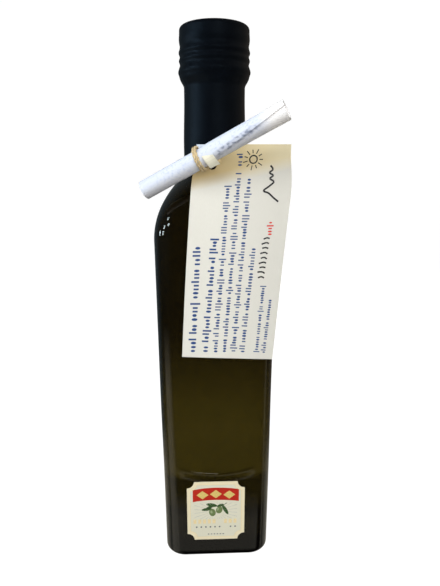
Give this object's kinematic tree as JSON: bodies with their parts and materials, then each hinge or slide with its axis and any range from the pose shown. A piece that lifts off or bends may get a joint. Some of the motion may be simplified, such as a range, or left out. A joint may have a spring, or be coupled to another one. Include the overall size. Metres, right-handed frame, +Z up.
{
  "type": "olive oil bottle",
  "caption": "Square dark glass olive oil bottle with a round neck, black shrink capsule, small front sticker, and a card and rolled leaflet tied on with twine.",
  "frame": {"origin": "centre of the base, where the bottle stands", "axes": "+Z up along the bottle, -Y out of the front face with the sticker and the card, +X to the right as seen from the front"},
  "size_m": [0.0697, 0.0757, 0.2726],
  "materials": {
    "green_glass": "smooth dark olive-green bottle glass",
    "oil": "clear green-gold oil, seen through the glass",
    "black_film": "matte black shrink film",
    "sticker_paper": "cream printed sticker",
    "card_paper": "uncoated cream card with small blue print",
    "leaflet_paper": "thin white paper, print showing through",
    "twine_fibre": "twisted natural jute",
    "slip_paper": "folded cream paper"
  },
  "bodies": {
    "root": {"bottle": "green_glass", "olive_oil": "oil", "capsule": "black_film", "sticker": "sticker_paper", "card": "card_paper", "leaflet_roll": "leaflet_paper", "twine": "twine_fibre", "slip": "slip_paper"}
  },
  "joints": []
}
